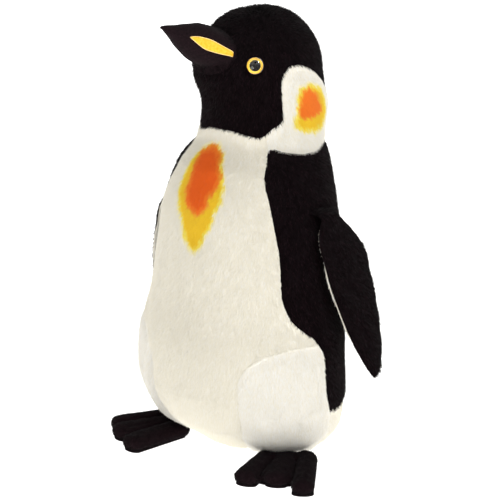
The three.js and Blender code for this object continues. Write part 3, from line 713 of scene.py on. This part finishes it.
def beak_point(out, around, lift=0.0):
    """A point on the beak, lifted from its outline; 0 around is its left side. The root lies on the head."""
    top, bottom = through(BEAK_TOP, out), through(BEAK_BOTTOM, out)
    cap = np.sqrt(np.clip(1 - np.clip((out - BEAK_TIP) / BEAK_TIP_RADIUS, 0, 1) ** 2, 0, 1))
    wide = np.maximum((beak_half(out) + lift) * cap, 0.0)
    tall = np.maximum(((top - bottom) / 2 + lift) * cap, 0.0)
    a = np.radians(around)
    point = np.stack([wide * np.cos(a), NECK_Y - out, (top + bottom) / 2 + tall * np.sin(a)], -1)
    centre, head_wide, head_deep = section(point[..., 2])
    x, y = point[..., 0], point[..., 1] - centre
    turn = np.degrees(np.arctan2(x / head_wide, -y / head_deep))
    share = np.hypot(x / head_wide, y / head_deep)
    rest = 1 + (fullness(turn, point[..., 2]) + lift - 0.6) / ((head_wide + head_deep) / 2)
    over = np.clip(rest / share, 1, 1.3) - 1
    grow = 1 + over * smoothstep(out, BEAK_FLARE - 4, BEAK_FLARE)
    return np.stack([x * grow, centre + y * grow, point[..., 2]], -1)


EYE_TURN, EYE_Z, EYE_RADIUS, EYE_DOME = 51, 541, 10.8, 5
eye_place, eye_out = surface(np.array([float(EYE_TURN)]), arc_of(np.array([float(EYE_Z)])))
eye_place, eye_out = eye_place[0], eye_out[0]


def off_face(turn, s):
    """Keeps the pile off the eye and from under the beak's felt."""
    points, _ = surface(turn, s)
    out = NECK_Y - points[:, 1]
    under_felt = (out > NEAR_OUT) & (np.abs(turn) < NEAR_TURN) & (beak_inside(points) > 0)
    return (np.linalg.norm(points - eye_place, axis=-1) > EYE_RADIUS + 0.2) & ~under_felt


hood_turns, hood_lows = hood_line(110, 0, 180)
v = spaced(0, 1, 64)[:, None]
even = spaced(0, 180, 110)[None]
mix = smoothstep(v, 0, 0.7)
hood_turn = hood_turns[None] * (1 - mix) + even * mix
hood_low = np.maximum(arc_of(hood_lows), BACK_TOP_Z)[None]
hood_s = hood_low + v * (BROW_Z + CROWN_ARC - hood_low)
skin_pair("hood", hood_turn, hood_s, (0.4, 0.8, 3, 0), "black_plush", clear=off_face, density=0.95)

# ---- Underside: a woven disc with a raised rim of stitches ----

ring = spaced(0, 360, 73)[:-1]
out = np.array([0.02, 0.3, 0.6, 0.85, 0.93, 0.965, 1.0])[:, None]
half_x, half_y = (base_high.x - base_low.x) / 2 / MM, (base_high.y - base_low.y) / 2 / MM
STITCHES_AT, STITCH_RISE, BASE_UNDER, BASE_OVER = 0.965, 0.8, 1.4, 2.9
rim = STITCH_RISE * np.exp(-(((out - STITCHES_AT) / 0.02) ** 2))
across, along = half_x * out * np.cos(np.radians(ring)), half_y * out * np.sin(np.radians(ring))
under = np.stack([across, BASE_Y + along, BASE_UNDER - rim + 0 * across], -1)
over = np.stack([across, BASE_Y + along, BASE_OVER + 0 * across], -1)
underside = shell("underside", over, under, base_cloth, around=True)
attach(underside, "trunk")
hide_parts("base_panel")

# ---- Eyes: iris, pupil, clear dome and a dark rim, round the eye's own axis ----

AROUND = 48


def onto_eye(profile, name, material, sign):
    """A solid of revolution round the eye's axis from a closed profile of radius and height."""
    axis = Vector(eye_out)
    frame_x = axis.orthogonal().normalized()
    frame_y = axis.cross(frame_x)
    angles = spaced(0, 2 * math.pi, AROUND + 1)[:-1]
    spoke = np.cos(angles)[:, None] * np.array(frame_x) + np.sin(angles)[:, None] * np.array(frame_y)
    points = np.array([eye_place + spoke * radius + eye_out * height for radius, height in profile])
    points[..., 0] *= sign
    (points,) = twisted(points)
    return make_object(name, points.reshape(-1, 3), ring_quads(len(profile), AROUND), material)


def give_rings(made, sign, radius):
    """Gives each vertex its distance from the eye's axis, as a share of the radius."""
    mirror = np.array([sign, 1, 1])
    centre, axis = twisted(eye_place[None] * mirror, eye_out[None] * mirror)
    centre, axis = Vector((centre[0] * MM + ORIGIN).tolist()), Vector(axis[0].tolist())
    values = []
    for vertex in made.data.vertices:
        away = vertex.co - centre
        values.append((away - axis * away.dot(axis)).length / (radius * MM))
    attribute = made.data.attributes.new("ring", "FLOAT", "POINT")
    attribute.data.foreach_set("value", values)


def arc_profile(radius, low, rise, steps=9):
    return [
        (radius * math.cos(k / steps * math.pi / 2), low + rise * math.sin(k / steps * math.pi / 2))
        for k in range(steps + 1)
    ]


IRIS_RADIUS, PUPIL_RADIUS, DOME_LOW = 10.3, 6.6, 3.9
# Each piece's name, profile, material, slot, and the CAD node that it stands for
EYE_PIECES = [
    ("iris_face", [(6.7, 2.7), (8.5, 2.6), (IRIS_RADIUS, 2.4), (IRIS_RADIUS, 2.9), (8.5, 3.3), (6.7, 3.4)],
     amber_iris, "amber_iris", "iris"),
    ("pupil_face", [(0, 2.7), (PUPIL_RADIUS, 2.7)] + arc_profile(PUPIL_RADIUS, 2.9, 0.55),
     pupil_plastic, "black_pupil", "pupil"),
    ("dome", [(0, 3.7), (EYE_RADIUS - 0.3, 3.7)] + arc_profile(EYE_RADIUS, DOME_LOW, EYE_DOME - 0.2, 14),
     lens_glass, "clear_lens", "lens"),
    ("rim", [(10.4, 1.0), (11.3, 0.8), (11.8, 1.8), (11.6, 3.0), (11.2, 3.7), (10.6, 3.5)],
     black_plastic, "eye_backing", None),
]
for sign, side in SIDES:
    for word, profile, material, slot, node in EYE_PIECES:
        piece = onto_eye(profile, f"eye_{side}_{word}", material, sign)
        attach(piece, "trunk")
        if node:
            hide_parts(f"eye_{side}_{node}")
        if node == "iris":
            give_rings(piece, sign, IRIS_RADIUS)

# ---- Beak: two felt halves, and a yellow stripe with a pale corded edge on each side ----


def to_side(sign, *grids):
    """Grids of the head's left half carried to a side and turned with the head, facing out."""
    made = [twisted(grid * [sign, 1, 1])[0] for grid in grids]
    return made if sign > 0 else [grid[:, ::-1] for grid in made]


FELT_THICKNESS = 1.6
for sign, side in SIDES:
    rows = np.concatenate([spaced(62, BEAK_TIP, 52), BEAK_TIP + spaced(0.6, BEAK_TIP_RADIUS, 5)])
    u, v = np.meshgrid(spaced(-90, 90, 50), rows)
    base = beak_point(v, u)
    depth = groove(base, (1.0, 1.0, 0, 0), 2.2) + 0.35 * drift(base, 26, 21)
    outer, inner = beak_point(v, u, -depth), beak_point(v, u, -depth - FELT_THICKNESS)
    for grid in (outer, inner):
        grid[..., 0] = np.maximum(grid[..., 0], 0.1)
    outer, inner = to_side(sign, outer, inner)
    felt = shell(f"beak_{side}_felt", outer, inner, black_felt)
    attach(felt, "trunk")
    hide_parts(f"beak_{side}")

# Plush of the head that covers the root of the beak, up to the felt's edge
COLLAR_FROM, UNDER_FELT = 66, 1
for sign, side in SIDES:
    u, v = np.meshgrid(spaced(-90, 90, 60), spaced(0, 1, 30))
    reach = through(FELT_EDGE, u) + UNDER_FELT - COLLAR_FROM
    (root,) = to_side(sign, beak_point(COLLAR_FROM + reach * v, u, -1.0))
    rng = np.random.default_rng(30 + sign)
    roots, out = scatter(root, [grid_normals(root)], int(cell_areas(root).sum() * DENSITY * 1.5), rng)
    out = unit(out)
    backward = np.array([0.25 * sign, 0.6, -0.8])
    shades = random_shades(BLACK_MIX, len(roots), rng)
    pile = strands(
        f"beak_{side}_plush", roots - out * 0.5, out, laid(backward, out), shades, black_fibres, rng,
        length=5.5, lean=60,
    )
    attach(pile, "trunk")

# The stripe's two edges, as distance out and angle around
STRIPE_UPPER = [
    (67.5, 5), (79, 9.5), (85.5, 12.5), (91.5, 16.5), (101, 21.5), (110, 23.5), (117, 20.5), (122, 15),
]
STRIPE_LOWER = [(69.5, -4), (80.5, -9), (91, -10.5), (97.5, -10), (105, -8), (114, 1.5), (119, 9), (122, 15)]
STRIPE_FROM, STRIPE_TO = 70, 121.6


def stripe_point(u, out, lift):
    upper, lower = through(STRIPE_UPPER, out), through(STRIPE_LOWER, out)
    return beak_point(out, (upper + lower) / 2 + (upper - lower) / 2 * u, lift)


def tube(name, path, radius, material, sides=8):
    """A round cord along a closed path."""
    ahead = unit(np.roll(path, -1, 0) - np.roll(path, 1, 0))
    aside = unit(np.cross(ahead, np.array([0.0, 0.0, 1.0])))
    upward = np.cross(aside, ahead)
    angles = spaced(0, 2 * math.pi, sides + 1)[:-1]
    spokes = aside[:, None] * np.cos(angles)[:, None] + upward[:, None] * np.sin(angles)[:, None]
    rings = path[:, None] + radius * spokes
    return make_object(name, rings.reshape(-1, 3), ring_quads(len(path), sides), material)


STRIPE_CROWN, STRIPE_LIFT, STRIPE_SUNK, CORD_RADIUS = 0.7, 0.4, -0.8, 0.55
for sign, side in SIDES:
    rows = STRIPE_FROM + (STRIPE_TO - STRIPE_FROM) * np.sin(spaced(0, math.pi / 2, 50))
    u, v = np.meshgrid(spaced(-1, 1, 15), rows)
    crown = STRIPE_CROWN * np.clip(1 - u**4, 0, 1) ** 0.5
    outer, inner = stripe_point(u, v, STRIPE_LIFT + crown), stripe_point(u, v, STRIPE_SUNK + 0 * u)
    edge = np.concatenate([outer[:, -1], outer[::-1, 0]]) * [sign, 1, 1]
    outer, inner = to_side(sign, outer, inner)
    leaf = shell(f"beak_stripe_{side}_felt", outer, inner, yellow_felt)
    cord = tube(f"beak_stripe_{side}_edge", twisted(edge)[0], CORD_RADIUS, pale_edge)
    for piece in (leaf, cord):
        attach(piece, "trunk")
    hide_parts(f"beak_stripe_{side}")

# ---- Wings and tail: two cloth faces each, bending out of the body at the root ----

WING = {"length": 220, "lean": 16, "toe_in": 5, "hinge": (139, 0, 342), "half": 10, "cloth": 3}
TAIL = {"length": 58, "half_width": 34, "lean": 48, "hinge_y": 107, "hinge_z": 74, "half": 8, "cloth": 3}
WING_FRONT, WING_REAR, WING_TIP = -30, 66, 25
WING_SHOULDER = 0.27  # share of the length over which the rear edge rounds out


def wing_edges(v):
    v = np.clip(v, 0, 1)
    front_root = 1 - 0.3 * np.maximum(1 - v / 0.15, 0) ** 2
    rear_root = 1 - np.maximum(1 - v / WING_SHOULDER, 0) ** 1.6
    front = (WING_TIP - WING_FRONT) * np.maximum(1 - v**2.2, 0.0002) ** 0.8
    rear = (WING_REAR - WING_TIP) * np.sqrt(np.maximum(1 - v**4, 0.0006))
    return WING_TIP - front * front_root, WING_TIP + rear * rear_root


# Above the hinge the wing bends in to the body, to this angle from upright, over this length
TUCK_LENGTH, TUCK_TURN, TUCK_OVER = 26, 68, 12


def wing_place(across, along, out):
    lean = math.radians(WING["lean"])
    steps = spaced(0, TUCK_LENGTH, 53)
    angles = lean + math.radians(TUCK_TURN) * smoothstep(steps, -3, TUCK_OVER)
    gap = steps[1] - steps[0]
    inward = np.concatenate([[0], np.cumsum(np.sin(angles))[:-1]]) * gap
    upward = np.concatenate([[0], np.cumsum(np.cos(angles))[:-1]]) * gap
    tucked, hung = np.maximum(-along, 0), np.maximum(along, 0)
    angle = np.where(along < 0, np.interp(tucked, steps, angles), lean)
    x = hung * math.sin(lean) - np.interp(tucked, steps, inward) + out * np.cos(angle)
    z = -hung * math.cos(lean) + np.interp(tucked, steps, upward) + out * np.sin(angle)
    points = np.stack([x, across + 0 * along, z], -1)
    return turned(points, math.radians(WING["toe_in"])) + np.array(WING["hinge"])


def tail_edges(v):
    half = TAIL["half_width"] * np.sqrt(np.maximum(1 - np.clip(v, 0, 1) ** 2.4, 0.0006))
    return -half, half


def tail_place(across, along, out):
    lean = math.radians(TAIL["lean"])
    tucked = np.maximum(-along, 0)
    y = TAIL["hinge_y"] + along * math.cos(lean) - tucked**2 / 40 + out * math.sin(lean)
    z = TAIL["hinge_z"] - along * math.sin(lean) + out * math.cos(lean)
    return np.stack([across + 0 * y, y, z], -1)


# How far the lining's edges lie inside the wing's, how much of it shows in front, and where it starts
LINING_TUCK, LINING_SHOWS, LINING_FROM = 2.2, 1.4, 0.035
# The skin's depth below the CAD's face, its waves and its thickness
LIMB_ROOM, LIMB_TUFT, LIMB_SKIN = 3, 0.7, 1.2


def flap(shape, edges, place, sign, face, root, lining=False):
    """One cloth face of a flat limb: face 1 is outer and -1 inner. root is its reach past the hinge."""
    if lining:
        high_rows = spaced(LINING_FROM, 0.85, 64)
    else:
        high_rows = np.concatenate([-root * spaced(1, 0.08, 12), spaced(0, 0.85, 64)])
    rows = np.concatenate([high_rows, 1 - 0.15 * spaced(0.95, 0, 26) ** 2])
    columns = (1 - np.cos(math.pi * spaced(0, 1, 40))) / 2
    u, v = np.meshgrid(columns, rows)
    front, rear = edges(v)
    if lining:
        shown = smoothstep(v, 0.22, 0.34) * (1 - smoothstep(v, 0.66, 0.8))
        front = front + LINING_TUCK - (LINING_TUCK + LINING_SHOWS) * shown
        rear = rear - LINING_TUCK * smoothstep(1 - v, 0, 0.06)
    swell = np.sin(math.pi * u) * np.sin(math.pi * (0.12 + 0.88 * np.clip(v, 0, 1)))
    high = shape["cloth"] + (shape["half"] - shape["cloth"]) * np.sqrt(np.maximum(swell, 0)) - LIMB_ROOM
    across = front + (rear - front) * u
    along = shape["length"] * v
    high = np.maximum(high + LIMB_TUFT * drift(place(across, along, 0 * u), 40, 31), 0.5)
    outer = place(across, along, face * high)
    inner = place(across, along, face * np.maximum(high - LIMB_SKIN, 0.15))
    for grid in (outer, inner):
        grid[..., 0] *= sign
    if sign * face > 0:
        outer, inner = outer[:, ::-1], inner[:, ::-1]
    return outer, inner


def flap_pile(name, outer, toward, seed, mix=BLACK_MIX, fibres=black_fibres, density=0.95, length=6, lean=58):
    """Pile on a cloth face, lying toward the limb's tip."""
    rng = np.random.default_rng(seed)
    count = int(cell_areas(outer).sum() * DENSITY * density)
    roots, out = scatter(outer, [grid_normals(outer)], count, rng)
    out = unit(out)
    shades = random_shades(mix, count, rng)
    flow = laid(toward, out)
    return strands(name, roots - out * 0.5, out, flow, shades, fibres, rng, length=length, lean=lean)


LINING_PILE = {"mix": (2, 4, 4, 2), "fibres": white_fibres, "density": 0.9, "length": 4, "lean": 60}
# Each face of a wing: its side, name, skin, slot, reach past the hinge, the seed of its pile, and its pile
WING_FACES = [
    (1, "outer", black_skin, "black_plush", 0.11, 40, {}),
    (-1, "lining", lining_cloth, "white_lining", 0, 50, LINING_PILE),
]
for sign, side in SIDES:
    # The way down the wing from its hinge, along which its pile lies
    downward = unit((wing_place(0, 200, 0) - WING["hinge"]) * [sign, 1, 1])
    for face, word, cloth_made, slot, reach, seed, pile_made in WING_FACES:
        outer, inner = flap(WING, wing_edges, wing_place, sign, face, reach, lining=face < 0)
        skin = shell(f"wing_{side}_{word}_skin", outer, inner, cloth_made)
        pile = flap_pile(f"wing_{side}_{word}_pile", outer, downward, seed + sign, **pile_made)
        for piece in (skin, pile):
            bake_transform(piece)
        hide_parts(f"wing_{side}_{word}")

tailward = unit(tail_place(0, 50, 0) - tail_place(0, 0, 0))
for face, word in ((1, "upper"), (-1, "under")):
    outer, inner = (grid[:, ::-1] for grid in flap(TAIL, tail_edges, tail_place, 1, face, 0.3))
    skin = shell(f"tail_{word}_skin", outer, inner, black_skin)
    pile = flap_pile(f"tail_{word}_pile", outer, tailward, 60 + face)
    for piece in (skin, pile):
        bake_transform(piece)
    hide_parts(f"tail_{word}")

# ---- Feet: three padded toes on one palm, with stitched grooves between them ----

# Each bar's heel and tip, its radius at each, and its widening, for the three toes and the palm.
# The right foot's bars are given as on the left.
TOE, PALM = (11.5, 10.5, 1.6), (11, 9.5, 2.9)
FEET = {
    "left": [
        ((88, -55), (113, -135), *TOE), ((107, -41), (147, -111), *TOE),
        ((125, -25), (194, -108.5), 11.5, 10.5, 1.4), ((107, -41), (140, -107), *PALM),
    ],
    "right": [
        ((86, -55), (93, -149), *TOE), ((105, -41), (143, -127), *TOE),
        ((124, -25), (168, -107), *TOE), ((105, -41), (124, -125), *PALM),
    ],
}
# Stitched grooves from the ankle to the notch between two toes
FOOT_GROOVES = {
    "left": [((100, -58), (125, -120)), ((124, -40), (166, -96))],
    "right": [((96, -52), (118, -133)), ((116, -38), (156, -112))],
}
FOOT_VOXEL = 0.0016  # metres
GROOVE_DEPTH, GROOVE_WIDTH = 5.5, 3.0
UPPER_FROM, SOLE_ROOM = 8, 1.2  # grooves are sewn above the first height, and nothing lies below the second


def foot_bar(heel, tip, small, large, widen):
    """A tapered bar with round ends lying on the floor, as points and faces."""
    heel, tip = np.array(heel, float), np.array(tip, float)
    run = tip - heel
    length = np.linalg.norm(run) - large
    ahead = run / np.linalg.norm(run)
    aside = np.array([ahead[1], -ahead[0]])
    stations = [(-small * math.cos(a), small * math.sin(a)) for a in spaced(0.02, math.pi / 2, 8)]
    stations += [(length * k / 12, small + (large - small) * k / 12) for k in range(1, 12)]
    ends = spaced(0, math.pi / 2 - 0.02, 10)
    stations += [(length + large * math.sin(a), large * math.cos(a)) for a in ends]
    angles = spaced(0, 2 * math.pi, 33)[:-1]
    points = []
    for along, radius in stations:
        rest = small + (large - small) * min(max(along / length, 0), 1)
        for a in angles:
            flat = heel + ahead * along + aside * radius * widen * math.cos(a)
            points.append((flat[0], flat[1], rest + radius * math.sin(a)))
    rows, columns = len(stations), len(angles)
    faces = []
    for i in range(rows - 1):
        for j in range(columns):
            here, beside = i * columns + j, i * columns + (j + 1) % columns
            faces.append((here, beside, beside + columns, here + columns))
    faces += [tuple(range(columns))[::-1], tuple((rows - 1) * columns + j for j in range(columns))]
    return points, faces


def foot_mesh(name, side, sign):
    points, faces = [], []
    for bar in FEET[side]:
        more, quads = foot_bar(*bar)
        faces += [tuple(i + len(points) for i in face) for face in quads]
        points += [(x * sign, y, z) for x, y, z in more]
    made = make_object(name, points, faces, black_felt)
    remesh = made.modifiers.new("remesh", "REMESH")
    remesh.mode, remesh.voxel_size = "VOXEL", FOOT_VOXEL
    smooth = made.modifiers.new("smooth", "SMOOTH")
    smooth.factor, smooth.iterations = 0.6, 5
    evaluated = made.evaluated_get(bpy.context.evaluated_depsgraph_get())
    mesh = bpy.data.meshes.new_from_object(evaluated)
    made.modifiers.clear()
    made.data = mesh
    co = np.array([v.co for v in mesh.vertices])
    flat = (co - ORIGIN) / MM
    x, y, z = flat[:, 0] * sign, flat[:, 1], flat[:, 2]
    dip = np.zeros(len(flat))
    for (ax, ay), (bx, by) in FOOT_GROOVES[side]:
        run = np.array([bx - ax, by - ay], float)
        share = np.clip(((x - ax) * run[0] + (y - ay) * run[1]) / (run @ run), 0, 1)
        away = np.hypot(x - ax - run[0] * share, y - ay - run[1] * share)
        sewn = smoothstep(share, 0, 0.15) * np.exp(-((away / GROOVE_WIDTH) ** 2))
        dip = np.maximum(dip, GROOVE_DEPTH * sewn)
    soft = 0.35 * drift(flat, 16, 41)
    z = np.maximum(np.where(z > UPPER_FROM, z - dip + soft, z), SOLE_ROOM)
    flat = np.stack([x * sign, y, z], -1)
    mesh.vertices.foreach_set("co", (flat * MM + ORIGIN).astype(np.float32).ravel())
    mesh.update()
    for polygon in mesh.polygons:
        polygon.use_smooth = True
    return made


def foot_fuzz(name, foot, seed):
    """Short felt fuzz over a foot's upper, standing nearly straight."""
    rng = np.random.default_rng(seed)
    mesh = foot.data
    mesh.calc_loop_triangles()
    triangles = np.array([t.vertices for t in mesh.loop_triangles])
    co = (np.array([v.co for v in mesh.vertices]) - ORIGIN) / MM
    normal = np.array([v.normal for v in mesh.vertices])
    a, b, c = (co[triangles[:, k]] for k in range(3))
    area = np.linalg.norm(np.cross(b - a, c - a), axis=-1) / 2
    centre = (a + b + c) / 3
    area = np.where(centre[:, 2] > 3, area, 0)
    count = int(area.sum() * DENSITY * 2.2)
    picked = rng.choice(len(area), count, p=area / area.sum())
    weights = rng.dirichlet((1, 1, 1), count)
    roots = (co[triangles[picked]] * weights[..., None]).sum(1)
    out = unit((normal[triangles[picked]] * weights[..., None]).sum(1))
    flow = laid(np.array([0.35, -1.0, -0.3]), out)
    shades = random_shades((5, 4, 2), count, rng)
    roots = roots - out * 0.4
    return strands(name, roots, out, flow, shades, felt_fibres, rng, length=2.6, width=0.7, lean=45, tuft=0.3)


for sign, side in SIDES:
    foot = foot_mesh(f"foot_{side}_felt", side, sign)
    fuzz = foot_fuzz(f"foot_{side}_fuzz", foot, 70 + sign)
    for piece in (foot, fuzz):
        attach(piece, f"foot_{side}")
    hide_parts(f"foot_{side}_upper")

# ---- Finishes for the CAD nodes that stay ----

STAYING = [
    ("stuffing", fibre_filling), ("pellet_bag", pellet_cloth), ("stem", black_plastic),
    ("washer", washer_plastic), ("sole", black_felt),
]
for node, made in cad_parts.items():
    for part, material in STAYING:
        if part in node and not made.hide_render:
            made.data.materials.clear()
            made.data.materials.append(material)

# ---- Floor, light and camera ----

FLOOR_HALF = 60
floor_mesh = bpy.data.meshes.new("floor")
corners = [(x * FLOOR_HALF, y * FLOOR_HALF, 0) for x, y in ((-1, -1), (1, -1), (1, 1), (-1, 1))]
floor_mesh.from_pydata(corners, [], [(0, 1, 2, 3)])
floor = linked("floor", floor_mesh)
floor_material, _ = shader_of(
    "floor", 0.9,
    {"Base Color": (0.93, 0.93, 0.92, 1), "Emission Color": (1, 1, 1, 1), "Emission Strength": 0.95},
)
floor_mesh.materials.append(floor_material)
floor.visible_glossy = False

world = bpy.data.worlds.new("studio")
world.use_nodes = True
set_inputs(world.node_tree.nodes["Background"], {"Color": (1, 0.99, 0.97, 1), "Strength": 0.76})
bpy.context.scene.world = world
world.cycles_visibility.glossy = False


def aimed(name, data, place, target):
    made = linked(name, data)
    made.location = place
    made.rotation_euler = (Vector(target) - Vector(place)).to_track_quat("-Z", "Y").to_euler()
    return made


key = bpy.data.lights.new("key", "SUN")
key.energy, key.angle = 1.0, math.radians(35)
sun = aimed("key", key, (1.7, -1.1, 1.6), (0, 0, 0.3))
sun.visible_glossy = False
glint = bpy.data.lights.new("glint", "AREA")
glint.energy, glint.size = 9.0, 0.15
lamp = aimed("glint", glint, (0.681, -0.366, 1.105), (0.055, -0.048, 0.541))
lamp.visible_diffuse = False

CAMERA_TURN, CAMERA_RISE, CAMERA_FAR, LENS = math.radians(43), math.radians(14.2), 2.6, 137.4
MIDDLE_RISE, AIM_DROP = 0.300, 0.0241
SENSOR = 36
back = Vector((
    math.sin(CAMERA_TURN) * math.cos(CAMERA_RISE), -math.cos(CAMERA_TURN) * math.cos(CAMERA_RISE),
    math.sin(CAMERA_RISE),
))
middle = Vector(ORIGIN.tolist()) + Vector((0, 0, MIDDLE_RISE))
camera = bpy.data.cameras.new("camera")
camera.lens, camera.sensor_width = LENS, SENSOR
view = aimed("camera", camera, middle + back * CAMERA_FAR, middle - Vector((0, 0, AIM_DROP)))
bpy.context.scene.camera = view
bpy.context.scene.view_settings.view_transform = "Standard"
